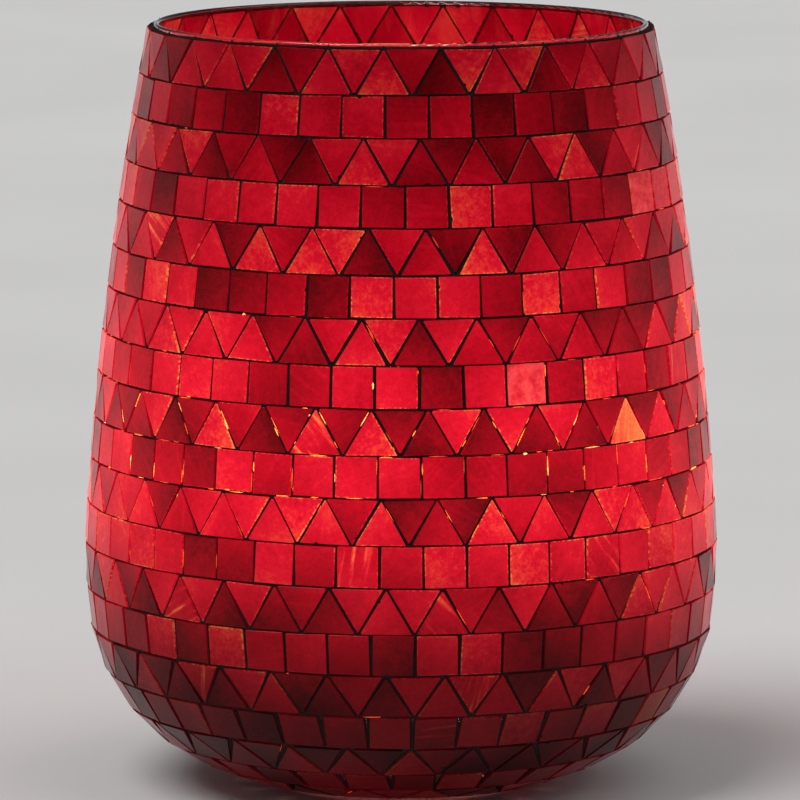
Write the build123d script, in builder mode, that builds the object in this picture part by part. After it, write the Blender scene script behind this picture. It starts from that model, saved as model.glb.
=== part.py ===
from build123d import *
import os
from math import acos, atan, atan2, cos, degrees, floor, hypot, pi, radians, sin, sqrt, tan

# A table lamp: an open-topped vase of clear blown glass, covered outside with cut glass tiles in rows of
# triangles and squares, with an E27 lampholder and bulb standing on a threaded tube inside it.
# Millimetres, +Z up, the table at Z = 0 and the lamp's own axis on Z. The front faces -Y.

# --- Glass vase ---------------------------------------------------------------------------------------
GLASS = 2.2                    # wall thickness
FOOT_RADIUS = 35.5             # outer edge of the flat ring that the vase stands on
FOOT_HEIGHT = 3.0              # that ring stands on felt
WALL_ARCS = ((90, 32), (66, 51), (200, 11), (1500, 6.93))   # radius and turn of each arc, foot to rim
PUNT_EDGE = 28.0               # inner edge of the foot ring, where the floor starts to rise
PUNT_BEND = 5.0                # radius of the floor's two bends, on its underside
PUNT_SLOPE = 60                # steepness of the floor between the bends
PUNT_HEIGHT = 8.0              # rise of the floor's middle above the foot ring
TUBE_HOLE_RADIUS = 5.5

# --- Mosaic -------------------------------------------------------------------------------------------
BED = 0.3                      # coat of adhesive and grout between glass and tiles
BED_EDGE = 2.0                 # how far the coat runs on past the last row
TILE = 1.6                     # tile thickness
TILE_CLEAR = 0.02              # flat tiles stand this far off the curved bed
JOINT = 0.4                    # grout joint between tiles
CREVICE = 0.1                  # least room between tiles of neighbouring rows
RIM_LIP = 1.0                  # bare glass above the first row
TRIANGLE_PITCH = 16.75         # height on the tiled face that a row of triangles takes up
SQUARE_PITCH = 15.25
# Each pair is a row of triangles and the row of squares under it. The two numbers are where an upright
# triangle and a square stand, off the front of the lamp, in widths of the row's own pattern.
ROW_STARTS = (
    (-0.31, 0.14),
    (0.34, -0.41),
    (0.43, 0.33),
    (0.32, -0.09),
    (0.48, -0.03),
    (-0.36, 0.01),
    (-0.27, -0.18),
    (-0.26, -0.25),
    (0.15, 0.27),
    (0.40, 0.00),
)
FRONT = -90                    # azimuth that the front faces

# --- Cord inlet: a rubber grommet in the place of one square, low at the back -------------------------
INLET_PAIR = 8                 # the pair of rows whose squares it interrupts
INLET_AZIMUTH = 90             # it takes the square nearest to the back
INLET_RADIUS = 4.5             # hole in the glass
GROMMET_BORE = 3.2
GROMMET_NECK = 4.3
GROMMET_FLANGE = 6.6
GROMMET_LIP = 1.8              # thickness of each flange
GROMMET_SEAT = 0.35            # the inner flange bridges the curved wall by this much

# --- Fixings on the axis ------------------------------------------------------------------------------
TUBE_RADIUS = 4.95             # M10 x 1 threaded tube, drawn at its crest
TUBE_BORE = 3.5
TUBE_BOTTOM = 4.2
TUBE_TOP = 41.0
FIXING_BORE = 5.05             # nuts and washers on the tube
NUT_ACROSS_FLATS = 14.0
NUT_HEIGHT = 3.0
RUBBER = 1.5
RUBBER_RADIUS = 16.0
LOWER_RUBBER_RADIUS = 11.0
SPREAD_WASHER = 1.5
SPREAD_WASHER_RADIUS = 17.0
LOWER_WASHER = 1.2
LOWER_WASHER_RADIUS = 10.0
SPACER_BORE = 6.2
SPACER_RADIUS = 8.0
FELT_INNER = 27.0
FELT_OUTER = 36.5

# --- E27 lampholder -----------------------------------------------------------------------------------
HOLDER_BOTTOM = 33.0
HOLDER_BOSS_RADIUS = 10.0
HOLDER_BOSS_TOP = 41.0
HOLDER_SHOULDER = 48.0         # height where the cap reaches its full radius
HOLDER_SPLIT = 54.0            # where the skirt meets the cap
HOLDER_TOP = 86.0
HOLDER_RADIUS = 19.5
HOLDER_WALL = 2.2
HOLDER_CORD_HOLE = 3.5         # in the cap's back
LOCKING_SCREW_RADIUS = 1.5
LOCKING_SCREW_LENGTH = 5.0
LOCKING_SCREW_HEIGHT = 37.0
SLIP = 0.1                     # room round pieces that are pushed or screwed together
SKIRT_BORE = 14.4
SKIRT_MOUTH = 16.5             # the bore opens out to this at the top
SKIRT_FLARE = 78.0             # where the bore starts to open out
SPIGOT_RADIUS = 16.9           # the skirt's spigot, screwed into the cap
SPIGOT_BOTTOM = 48.5
CARRIER_RADIUS = 15.2          # porcelain disc that carries the contacts
CARRIER_BOTTOM = 50.0
CARRIER_TOP = 55.5
SHELL_RADIUS = 14.1            # brass screw shell
SHELL_WALL = 0.5
SHELL_FLANGE = 12.5            # the flange at its foot reaches in to this radius
SHELL_TOP = 79.0
STRIP = 0.5                    # contact strip thickness
STRIP_WIDTH = 5.0
TERMINAL_REACH = 9.2           # terminal screws off the axis
TERMINAL_HEAD = 2.4
TERMINAL_HEAD_HEIGHT = 1.4
TERMINAL_SHANK = 1.5
TERMINAL_LENGTH = 8.5

# --- E27 bulb: A60 shape, with an opaque body that shades what is below it and a frosted dome ----------
CONTACT_HEIGHT = 57.0          # where the bulb's contact rests
BULB_LENGTH = 105.0
BULB_RADIUS = 30.0
BODY_WALL = 1.2
DOME_WALL = 0.9
BULB_NECK = 12.4               # radius of the body inside its metal cap
BULB_NECK_BOTTOM = 79.0
BULB_NECK_TOP = 84.0
BULB_NECK_BEND = 25.0
CONTACT_RADIUS = 4.6
CONTACT_THICKNESS = 1.4
INSULATOR_RADIUS = 11.2
INSULATOR_HEIGHT = 3.0
CAP_RADIUS = 13.2              # crest of the bulb's E27 thread
CAP_WALL = 0.3
CAP_TOP = 83.0
THREAD_DEPTH = 0.6
THREAD_PITCH = 3.63
THREAD_TURNS = 4
DRIVER_WIDTH = 18.0            # upright driver board inside the body
DRIVER_BOTTOM = 66.0
DRIVER_TOP = 108.0
DRIVER_THICKNESS = 1.2
LED_BOARD_RADIUS = 24.5
LED_BOARD_THICKNESS = 1.5
LEDS = 12
LED_SIZE = 3.0
LED_HEIGHT = 0.7
LED_CIRCLE = 16.0              # radius of the ring of LEDs

STANDING = (Align.CENTER, Align.CENTER, Align.MIN)


def wall_length(inset):
    """Length of the wall's line from the foot ring to the rim."""
    return sum((radius - inset) * radians(turn) for radius, turn in WALL_ARCS)


def wall_at(distance, inset):
    """Radius, height, slope and bend of the wall, a distance down from the rim, inset into the glass."""
    climb = wall_length(inset) - distance
    radius, height, slope, local_bend = FOOT_RADIUS, FOOT_HEIGHT + inset, 0.0, 0.0
    for arc_radius, turn in WALL_ARCS:
        bend = arc_radius - inset
        reach = min(radians(turn), max(climb, 0.0) / bend)
        radius += bend * (sin(slope + reach) - sin(slope))
        height -= bend * (cos(slope + reach) - cos(slope))
        slope += reach
        if climb > 0:
            local_bend = bend
        climb -= bend * radians(turn)
    return radius, height, slope, local_bend


def wall_plane(distance, inset, azimuth):
    """Plane that touches the wall, with X around the lamp, Y up the wall and Z out of it."""
    radius, height, slope, _ = wall_at(distance, inset)
    around = radians(azimuth)
    return Plane(
        origin=(radius * cos(around), radius * sin(around), height),
        x_dir=(-sin(around), cos(around), 0),
        z_dir=(sin(slope) * cos(around), sin(slope) * sin(around), -cos(slope)),
    )


def draw_wall(inset, start):
    """Draw the wall's line in a BuildLine, from the foot ring up to the rim, and give its far end."""
    end, heading = start, 0
    for radius, turn in WALL_ARCS:
        arc = JernArc(
            start=end,
            tangent=(cos(radians(heading)), sin(radians(heading))),
            radius=radius - inset,
            arc_size=turn,
        )
        end, heading = arc @ 1, heading + turn
    return end


def draw_floor(inset):
    """Draw the floor's line in a BuildLine, from the foot ring in to the tube's hole, and give its end."""
    slope = radians(PUNT_SLOPE)
    straight = (PUNT_HEIGHT - 2 * PUNT_BEND * (1 - cos(slope))) / sin(slope)
    height = FOOT_HEIGHT + inset
    foot = Line((FOOT_RADIUS, height), (PUNT_EDGE, height))
    rise = JernArc(
        start=foot @ 1, tangent=(-1, 0), radius=PUNT_BEND - inset, arc_size=-PUNT_SLOPE
    )
    side = Line(rise @ 1, rise @ 1 + Vector(-cos(slope), sin(slope)) * straight)
    level = JernArc(
        start=side @ 1,
        tangent=(-cos(slope), sin(slope)),
        radius=PUNT_BEND + inset,
        arc_size=PUNT_SLOPE,
    )
    middle = Line(level @ 1, Vector(TUBE_HOLE_RADIUS, height + PUNT_HEIGHT))
    return middle @ 1


def save(part, name):
    """Label a finished piece and write it to its own file."""
    part.label = name
    export_step(part, f"parts/{name}.step")


def save_ring(name, bore, radius, bottom, top):
    """Make and save a flat ring on the axis."""
    with BuildPart() as piece:
        with BuildSketch(Plane.XY.offset(bottom)):
            Circle(radius)
            Circle(bore, mode=Mode.SUBTRACT)
        extrude(amount=top - bottom)
    save(piece.part, name)


def save_nut(name, bottom):
    """Make and save a hexagonal nut on the threaded tube."""
    with BuildPart() as nut:
        with BuildSketch(Plane.XY.offset(bottom)):
            RegularPolygon(NUT_ACROSS_FLATS / 2, 6, major_radius=False)
            Circle(FIXING_BORE, mode=Mode.SUBTRACT)
        extrude(amount=NUT_HEIGHT)
    save(nut.part, name)


def row_layout(top, pitch, side, gap):
    """Tile height and number of tiles round the lamp, for a row whose top is a distance down the face."""
    face = -(BED + TILE_CLEAR + TILE)
    middle = top + pitch / 2
    radius, _, slope, bend = wall_at(middle, face)
    lean = abs(cos(slope))
    room = pitch * (bend + face + BED) / bend
    spread = side**2 / (8 * radius) * lean
    tall = min(pitch - JOINT, room - CREVICE - spread)
    narrow_radius = radius - TILE * sin(slope) - tall / 2 * lean
    return tall, floor(pi / atan((side + gap) / 2 / narrow_radius))


def tile_azimuths(count, start):
    """Azimuths of the tiles of one row, the first of them near the front."""
    return [FRONT + (start + number) * 360 / count for number in range(count)]


def make_tile(seat, low_side, high_side, tall):
    """Make one flat tile: a square, or a triangle where one of its level sides has no length."""
    corners = [
        (-low_side / 2, -tall / 2),
        (low_side / 2, -tall / 2),
        (high_side / 2, tall / 2),
        (-high_side / 2, tall / 2),
    ]
    with BuildPart() as tile:
        with BuildSketch(seat):
            Polygon(*dict.fromkeys(corners), align=None)
        extrude(amount=TILE)
    return tile.part


def save_row(name, count, start, tiles, left_out=None):
    """Make and save one row, from the tiles in one repeat of its pattern."""
    with BuildPart() as row:
        for tile_number, tile in enumerate(tiles):
            azimuths = tile_azimuths(count, start + tile_number / len(tiles))
            kept = [azimuth for azimuth in azimuths if azimuth != left_out]
            with Locations(*[Location((0, 0, 0), (0, 0, azimuth)) for azimuth in kept]):
                add(tile)
    save(row.part, name)


def cord_inlet():
    """Plane of the cord's hole on the glass, on the wall behind the square that it replaces."""
    top = RIM_LIP + (INLET_PAIR - 1) * (TRIANGLE_PITCH + SQUARE_PITCH) + TRIANGLE_PITCH
    _, count = row_layout(top, SQUARE_PITCH, SQUARE_SIDE, JOINT)
    azimuths = tile_azimuths(count, ROW_STARTS[INLET_PAIR - 1][1])
    azimuth = min(azimuths, key=lambda each: abs(each - INLET_AZIMUTH))
    face = -(BED + TILE_CLEAR + TILE)
    return wall_plane(top + SQUARE_PITCH / 2, face, azimuth).offset(face), azimuth


SQUARE_SIDE = SQUARE_PITCH - JOINT
TRIANGLE_SIDE = 2 * (TRIANGLE_PITCH - JOINT) / sqrt(3)
SLANTED_GAP = 2 * JOINT / cos(radians(30))
INLET, INLET_TILE = cord_inlet()

os.makedirs("parts", exist_ok=True)

# --- Glass vase: one even wall from the rim down to the foot ring, and a floor with a raised middle ----
with BuildPart() as glass_vessel:
    with BuildSketch(Plane.XZ):
        with BuildLine():
            outer_hole = draw_floor(0)
            inner_hole = draw_floor(GLASS)
            Line(outer_hole, inner_hole)
            outer_rim = draw_wall(0, (FOOT_RADIUS, FOOT_HEIGHT))
            inner_rim = draw_wall(GLASS, (FOOT_RADIUS, FOOT_HEIGHT + GLASS))
            rim_slope = radians(sum(turn for _, turn in WALL_ARCS))
            rim_top = (outer_rim + inner_rim) / 2 + Vector(cos(rim_slope), sin(rim_slope)) * GLASS / 2
            ThreePointArc(outer_rim, rim_top, inner_rim)
        make_face()
    revolve(axis=Axis.Z)
    with BuildSketch(INLET):
        Circle(INLET_RADIUS)
    extrude(amount=2 * GLASS, both=True, mode=Mode.SUBTRACT)
save(glass_vessel.part, "glass_vessel")

# --- Adhesive bed: a thin coat on the outside of the wall, from the rim's lip to the last row ----------
bed_foot = FOOT_RADIUS + BED_EDGE
with BuildPart() as adhesive_bed:
    with BuildSketch(Plane.XZ):
        with BuildLine():
            glass_face = draw_wall(0, (FOOT_RADIUS, FOOT_HEIGHT))
            bed_face = draw_wall(-BED, (FOOT_RADIUS, FOOT_HEIGHT - BED))
            Line((FOOT_RADIUS, FOOT_HEIGHT), (FOOT_RADIUS, FOOT_HEIGHT - BED))
            Line(glass_face, bed_face)
        make_face()
    revolve(axis=Axis.Z)
    with BuildSketch(Plane.XY.offset(0)):
        Circle(bed_foot)
    extrude(amount=FOOT_HEIGHT * 2, mode=Mode.SUBTRACT)
    with BuildSketch(INLET):
        Circle(INLET_RADIUS)
    extrude(amount=2 * GLASS, both=True, mode=Mode.SUBTRACT)
save(adhesive_bed.part, "adhesive_bed")

# --- Rim grout: a sloped bead that closes the top edge of the first row against the glass --------------
with BuildPart() as rim_grout:
    bead = [
        wall_at(distance, inset)[:2]
        for distance, inset in (
            (RIM_LIP - JOINT / 2, -BED - TILE_CLEAR),
            (RIM_LIP - JOINT / 2, -BED - TILE),
            (JOINT / 2, -BED - TILE / 4),
            (JOINT / 2, -BED - TILE_CLEAR),
        )
    ]
    with BuildSketch(Plane.XZ):
        Polygon(*bead, align=None)
    revolve(axis=Axis.Z)
save(rim_grout.part, "rim_grout")

# --- Mosaic: rows of triangles, upright and inverted by turns, with a row of squares under each --------
for pair_number, (triangle_start, square_start) in enumerate(ROW_STARTS, start=1):
    triangle_top = RIM_LIP + (pair_number - 1) * (TRIANGLE_PITCH + SQUARE_PITCH)
    square_top = triangle_top + TRIANGLE_PITCH
    face = -(BED + TILE_CLEAR + TILE)

    tall, count = row_layout(triangle_top, TRIANGLE_PITCH, TRIANGLE_SIDE, SLANTED_GAP)
    seat = wall_plane(triangle_top + TRIANGLE_PITCH / 2, face, 0).offset(-TILE)
    upright = make_tile(seat, TRIANGLE_SIDE, 0, tall)
    inverted = make_tile(seat, 0, TRIANGLE_SIDE, tall)
    save_row(f"triangle_row_{pair_number:02d}", count, triangle_start, (upright, inverted))

    tall, count = row_layout(square_top, SQUARE_PITCH, SQUARE_SIDE, JOINT)
    seat = wall_plane(square_top + SQUARE_PITCH / 2, face, 0).offset(-TILE)
    square = make_tile(seat, SQUARE_SIDE, SQUARE_SIDE, tall)
    left_out = INLET_TILE if pair_number == INLET_PAIR else None
    save_row(f"square_row_{pair_number:02d}", count, square_start, (square,), left_out)

# --- Cord grommet: a rubber bush with a flange on each side of the wall --------------------------------
with BuildPart() as cord_grommet:
    with BuildSketch(INLET.offset(BED)):
        Circle(GROMMET_FLANGE)
    extrude(amount=GROMMET_LIP)
    fillet(cord_grommet.faces().sort_by(Axis(INLET.origin, INLET.z_dir))[-1].edges(), GROMMET_LIP / 3)
    with BuildSketch(INLET.offset(BED)):
        Circle(GROMMET_NECK)
    extrude(amount=-(BED + GLASS + GROMMET_SEAT))
    with BuildSketch(INLET.offset(-GLASS - GROMMET_SEAT)):
        Circle(GROMMET_FLANGE)
    extrude(amount=-GROMMET_LIP)
    with BuildSketch(INLET):
        Circle(GROMMET_BORE)
    extrude(amount=4 * GROMMET_FLANGE, both=True, mode=Mode.SUBTRACT)
save(cord_grommet.part, "cord_grommet")

# --- Fixings: felt under the foot ring, and what clamps the floor of the vase to the threaded tube -----
floor_underside = FOOT_HEIGHT + PUNT_HEIGHT
floor_top = floor_underside + GLASS
lower_washer_top = floor_underside - RUBBER
lower_nut_top = lower_washer_top - LOWER_WASHER
spread_washer_bottom = floor_top + RUBBER
upper_nut_bottom = spread_washer_bottom + SPREAD_WASHER
spacer_bottom = upper_nut_bottom + NUT_HEIGHT

save_ring("felt_ring", FELT_INNER, FELT_OUTER, 0, FOOT_HEIGHT)
save_ring("rubber_washer_lower", FIXING_BORE, LOWER_RUBBER_RADIUS, lower_washer_top, floor_underside)
save_ring("steel_washer_lower", FIXING_BORE, LOWER_WASHER_RADIUS, lower_nut_top, lower_washer_top)
save_nut("hex_nut_lower", lower_nut_top - NUT_HEIGHT)
save_ring("rubber_washer_upper", FIXING_BORE, RUBBER_RADIUS, floor_top, spread_washer_bottom)
save_ring("spread_washer", FIXING_BORE, SPREAD_WASHER_RADIUS, spread_washer_bottom, upper_nut_bottom)
save_nut("hex_nut_upper", upper_nut_bottom)
save_ring("spacer_tube", SPACER_BORE, SPACER_RADIUS, spacer_bottom, HOLDER_BOTTOM)
save_ring("threaded_tube", TUBE_BORE, TUBE_RADIUS, TUBE_BOTTOM, TUBE_TOP)

# --- Lampholder cap and the screw that locks it: a boss threaded on the tube, a dome, and a side hole for the cord -----------------
locking_screw_seat = Plane(
    origin=(FIXING_BORE + SLIP, 0, LOCKING_SCREW_HEIGHT), z_dir=(1, 0, 0)
)
with BuildPart() as lampholder_cap:
    with BuildSketch(Plane.XZ):
        with BuildLine():
            boss = Polyline(
                (HOLDER_BOSS_RADIUS, HOLDER_BOSS_TOP - HOLDER_WALL),
                (HOLDER_BOSS_RADIUS, HOLDER_BOTTOM),
                (FIXING_BORE, HOLDER_BOTTOM),
                (FIXING_BORE, HOLDER_BOSS_TOP),
                (HOLDER_BOSS_RADIUS - HOLDER_WALL, HOLDER_BOSS_TOP),
            )
            inside = RadiusArc(
                boss @ 1,
                (HOLDER_RADIUS - HOLDER_WALL, HOLDER_SHOULDER),
                HOLDER_RADIUS - HOLDER_WALL,
                short_sagitta=True,
            )
            wall = Polyline(
                inside @ 1,
                (HOLDER_RADIUS - HOLDER_WALL, HOLDER_SPLIT),
                (HOLDER_RADIUS, HOLDER_SPLIT),
                (HOLDER_RADIUS, HOLDER_SHOULDER - 1),
            )
            RadiusArc(boss @ 0, wall @ 1, HOLDER_RADIUS, short_sagitta=True)
        make_face()
    revolve(axis=Axis.Z)
    cord_height = (HOLDER_BOSS_TOP + HOLDER_SPLIT) / 2
    with BuildSketch(Plane.XZ.offset(-HOLDER_RADIUS / 2)):
        with Locations((0, cord_height)):
            Circle(HOLDER_CORD_HOLE)
    extrude(amount=-HOLDER_RADIUS, mode=Mode.SUBTRACT)
    with Locations(locking_screw_seat):
        Cylinder(LOCKING_SCREW_RADIUS + SLIP, HOLDER_BOSS_RADIUS, align=STANDING, mode=Mode.SUBTRACT)
save(lampholder_cap.part, "lampholder_cap")

with BuildPart() as cap_locking_screw:
    with Locations(locking_screw_seat):
        Cylinder(LOCKING_SCREW_RADIUS, LOCKING_SCREW_LENGTH, align=STANDING)
save(cap_locking_screw.part, "cap_locking_screw")

# --- Lampholder skirt: a spigot that screws into the cap, and a sleeve round the bulb's cap ------------
with BuildPart() as lampholder_skirt:
    with BuildSketch(Plane.XZ):
        Polygon(
            (CARRIER_RADIUS + SLIP, SPIGOT_BOTTOM),
            (SPIGOT_RADIUS, SPIGOT_BOTTOM),
            (SPIGOT_RADIUS, HOLDER_SPLIT),
            (HOLDER_RADIUS, HOLDER_SPLIT),
            (HOLDER_RADIUS, HOLDER_TOP),
            (SKIRT_MOUTH, HOLDER_TOP),
            (SKIRT_BORE, SKIRT_FLARE),
            (SKIRT_BORE, CARRIER_TOP),
            (CARRIER_RADIUS + SLIP, CARRIER_TOP),
            align=None,
        )
    revolve(axis=Axis.Z)
    rim_edges = lampholder_skirt.edges().filter_by(GeomType.CIRCLE).group_by(Axis.Z)[-1]
    fillet(rim_edges, HOLDER_WALL / 3)
save(lampholder_skirt.part, "lampholder_skirt")

# --- Contacts: a porcelain carrier, the brass screw shell, two spring strips and their screws ----------
terminals = ((-TERMINAL_REACH, 0), (TERMINAL_REACH, 0))

with BuildPart() as contact_carrier:
    with BuildSketch(Plane.XY.offset(CARRIER_BOTTOM)):
        Circle(CARRIER_RADIUS)
        with Locations(*terminals):
            Circle(TERMINAL_SHANK + SLIP, mode=Mode.SUBTRACT)
    extrude(amount=CARRIER_TOP - CARRIER_BOTTOM)
save(contact_carrier.part, "contact_carrier")

with BuildPart() as screw_shell:
    with BuildSketch(Plane.XZ):
        Polygon(
            (SHELL_FLANGE, CARRIER_TOP),
            (SHELL_RADIUS, CARRIER_TOP),
            (SHELL_RADIUS, SHELL_TOP),
            (SHELL_RADIUS - SHELL_WALL, SHELL_TOP),
            (SHELL_RADIUS - SHELL_WALL, CARRIER_TOP + SHELL_WALL),
            (SHELL_FLANGE, CARRIER_TOP + SHELL_WALL),
            align=None,
        )
    revolve(axis=Axis.Z)
save(screw_shell.part, "screw_shell")

strip_top = CARRIER_TOP + STRIP
tongue_top = CONTACT_HEIGHT - SLIP
with BuildPart() as centre_contact:
    with BuildSketch(Plane.XZ):
        Polygon(
            (-SHELL_FLANGE + 2 * STRIP, CARRIER_TOP),
            (-CONTACT_RADIUS, CARRIER_TOP),
            (0, tongue_top - STRIP),
            (CONTACT_RADIUS / 2, tongue_top - STRIP),
            (CONTACT_RADIUS / 2, tongue_top),
            (0, tongue_top),
            (-CONTACT_RADIUS, strip_top),
            (-SHELL_FLANGE + 2 * STRIP, strip_top),
            align=None,
        )
    extrude(amount=STRIP_WIDTH / 2, both=True)
    with Locations((-TERMINAL_REACH, 0, CARRIER_TOP)):
        Cylinder(TERMINAL_SHANK + SLIP, 2 * STRIP, mode=Mode.SUBTRACT)
save(centre_contact.part, "centre_contact")

with BuildPart() as side_contact:
    with BuildSketch(Plane.XZ):
        Polygon(
            (TERMINAL_REACH - TERMINAL_HEAD, CARRIER_TOP),
            (SHELL_FLANGE - STRIP, CARRIER_TOP),
            (SHELL_FLANGE - SLIP, strip_top),
            (SHELL_RADIUS - 2 * SHELL_WALL, strip_top),
            (SHELL_RADIUS - 2 * SHELL_WALL, strip_top + STRIP),
            (SHELL_FLANGE - STRIP, strip_top + STRIP),
            (SHELL_FLANGE - 2 * STRIP, strip_top),
            (TERMINAL_REACH - TERMINAL_HEAD, strip_top),
            align=None,
        )
    extrude(amount=STRIP_WIDTH / 2, both=True)
    with Locations((TERMINAL_REACH, 0, CARRIER_TOP)):
        Cylinder(TERMINAL_SHANK + SLIP, 2 * STRIP, mode=Mode.SUBTRACT)
save(side_contact.part, "side_contact")

with BuildPart() as terminal_screws:
    with BuildSketch(Plane.XY.offset(strip_top)):
        with Locations(*terminals):
            Circle(TERMINAL_HEAD)
    extrude(amount=TERMINAL_HEAD_HEIGHT)
    with BuildSketch(Plane.XY.offset(strip_top)):
        with Locations(*terminals):
            Circle(TERMINAL_SHANK)
    extrude(amount=-TERMINAL_LENGTH)
save(terminal_screws.part, "terminal_screws")

# --- Bulb's foot: contact button, black glass insulator, threaded cap, and the driver board above it ---
button_top = CONTACT_HEIGHT + CONTACT_THICKNESS
insulator_top = button_top + INSULATOR_HEIGHT

with BuildPart() as bulb_contact:
    with BuildSketch(Plane.XY.offset(CONTACT_HEIGHT)):
        Circle(CONTACT_RADIUS)
    extrude(amount=CONTACT_THICKNESS)
    chamfer(bulb_contact.faces().sort_by(Axis.Z)[0].edges(), CONTACT_THICKNESS / 2)
save(bulb_contact.part, "bulb_contact")

with BuildPart() as bulb_insulator:
    with BuildSketch(Plane.XY.offset(button_top)):
        Circle(INSULATOR_RADIUS)
    extrude(amount=INSULATOR_HEIGHT)
    chamfer(
        bulb_insulator.faces().sort_by(Axis.Z)[0].edges(),
        length=INSULATOR_HEIGHT - SLIP,
        length2=INSULATOR_RADIUS - CONTACT_RADIUS - SLIP,
    )
save(bulb_insulator.part, "bulb_insulator")

thread_bottom = insulator_top + THREAD_PITCH / 2
thread = [
    (CAP_RADIUS - THREAD_DEPTH * depth, thread_bottom + THREAD_PITCH * (turn + part))
    for turn in range(THREAD_TURNS)
    for depth, part in ((1, 0), (0.5, 0.25), (0, 0.5), (0.5, 0.75))
]
cap_line = [
    (INSULATOR_RADIUS, insulator_top),
    *thread,
    (CAP_RADIUS - THREAD_DEPTH, thread_bottom + THREAD_PITCH * THREAD_TURNS),
    (CAP_RADIUS, thread_bottom + THREAD_PITCH * THREAD_TURNS + THREAD_DEPTH),
    (CAP_RADIUS, CAP_TOP),
]
with BuildPart() as bulb_screw_cap:
    with BuildSketch(Plane.XZ):
        inside_line = [(radius - CAP_WALL, height) for radius, height in reversed(cap_line)]
        Polygon(*cap_line, *inside_line, align=None)
    revolve(axis=Axis.Z)
save(bulb_screw_cap.part, "bulb_screw_cap")

with BuildPart() as bulb_driver_board:
    with BuildSketch(Plane.XZ):
        with Locations((0, (DRIVER_BOTTOM + DRIVER_TOP) / 2)):
            Rectangle(DRIVER_WIDTH, DRIVER_TOP - DRIVER_BOTTOM)
    extrude(amount=DRIVER_THICKNESS / 2, both=True)
save(bulb_driver_board.part, "bulb_driver_board")

# --- Bulb's outline: a neck that opens out through a bend and a cone into a globe ----------------------
globe_centre = CONTACT_HEIGHT + BULB_LENGTH - BULB_RADIUS
globe_rise = globe_centre - BULB_NECK_TOP
bend_centre = BULB_NECK + BULB_NECK_BEND
# The cone touches both the bend and the globe, which fixes its lean from the axis.
cone_lean = atan2(globe_rise, bend_centre) - acos(
    (BULB_RADIUS + BULB_NECK_BEND) / hypot(globe_rise, bend_centre)
)
body_top = globe_centre - BULB_RADIUS * sin(cone_lean)


def draw_body(inset):
    """Draw the body's line in a BuildLine, from its neck up to where the globe starts, and give its ends."""
    neck = Line((BULB_NECK - inset, BULB_NECK_BOTTOM), (BULB_NECK - inset, BULB_NECK_TOP))
    bend = JernArc(
        start=neck @ 1,
        tangent=(0, 1),
        radius=BULB_NECK_BEND + inset,
        arc_size=-degrees(cone_lean),
    )
    foot = bend @ 1
    cone = Line(foot, foot + Vector(tan(cone_lean), 1) * (body_top - foot.Y))
    return neck @ 0, cone @ 1


with BuildPart() as bulb_body:
    with BuildSketch(Plane.XZ):
        with BuildLine():
            outer_neck, outer_top = draw_body(0)
            inner_neck, inner_top = draw_body(BODY_WALL)
            Line(outer_neck, inner_neck)
            Line(outer_top, inner_top)
        make_face()
    revolve(axis=Axis.Z)
save(bulb_body.part, "bulb_body")

with BuildPart() as bulb_dome:
    with BuildSketch(Plane.XZ):
        with BuildLine():
            for globe in (BULB_RADIUS, BULB_RADIUS - DOME_WALL):
                edge = Vector(sqrt(globe**2 - (globe_centre - body_top) ** 2), body_top)
                ThreePointArc(edge, Vector(globe, globe_centre), Vector(0, globe_centre + globe))
            Line((0, globe_centre + BULB_RADIUS), (0, globe_centre + BULB_RADIUS - DOME_WALL))
            Line(edge, Vector(BULB_RADIUS * cos(cone_lean), body_top))
        make_face()
    revolve(axis=Axis.Z)
save(bulb_dome.part, "bulb_dome")

# --- Light source: an aluminium board across the top of the body, with a ring of LEDs on it ------------
with BuildPart() as bulb_led_board:
    with BuildSketch(Plane.XY.offset(body_top)):
        Circle(LED_BOARD_RADIUS)
    extrude(amount=-LED_BOARD_THICKNESS)
save(bulb_led_board.part, "bulb_led_board")

with BuildPart() as bulb_leds:
    with BuildSketch(Plane.XY.offset(body_top)):
        with PolarLocations(LED_CIRCLE, LEDS):
            Rectangle(LED_SIZE, LED_SIZE)
    extrude(amount=LED_HEIGHT)
save(bulb_leds.part, "bulb_leds")
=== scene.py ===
import math
import random
from collections import namedtuple

import bmesh
import bpy
from mathutils import Matrix, Vector


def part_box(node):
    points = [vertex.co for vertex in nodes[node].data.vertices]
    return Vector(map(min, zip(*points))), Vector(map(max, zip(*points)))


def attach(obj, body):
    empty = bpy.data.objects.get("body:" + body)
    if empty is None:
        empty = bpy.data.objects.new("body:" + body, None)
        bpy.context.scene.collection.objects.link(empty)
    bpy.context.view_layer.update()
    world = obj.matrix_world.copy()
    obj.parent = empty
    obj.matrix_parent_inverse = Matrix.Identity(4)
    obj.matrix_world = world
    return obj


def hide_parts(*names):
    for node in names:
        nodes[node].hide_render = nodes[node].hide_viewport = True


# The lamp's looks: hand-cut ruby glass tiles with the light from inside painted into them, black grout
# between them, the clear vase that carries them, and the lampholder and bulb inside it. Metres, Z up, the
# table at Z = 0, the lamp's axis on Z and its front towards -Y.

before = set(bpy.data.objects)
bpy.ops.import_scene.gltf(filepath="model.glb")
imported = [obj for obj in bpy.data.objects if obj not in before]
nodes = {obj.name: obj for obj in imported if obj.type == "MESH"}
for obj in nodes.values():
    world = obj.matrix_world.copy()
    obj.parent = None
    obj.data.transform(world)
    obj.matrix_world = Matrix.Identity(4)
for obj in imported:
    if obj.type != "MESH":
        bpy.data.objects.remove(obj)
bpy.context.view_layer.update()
MM = 0.001

LAMP = "lamp"                  # the body that all pieces made here ride on
SEED = 9                       # of all random draws
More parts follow.
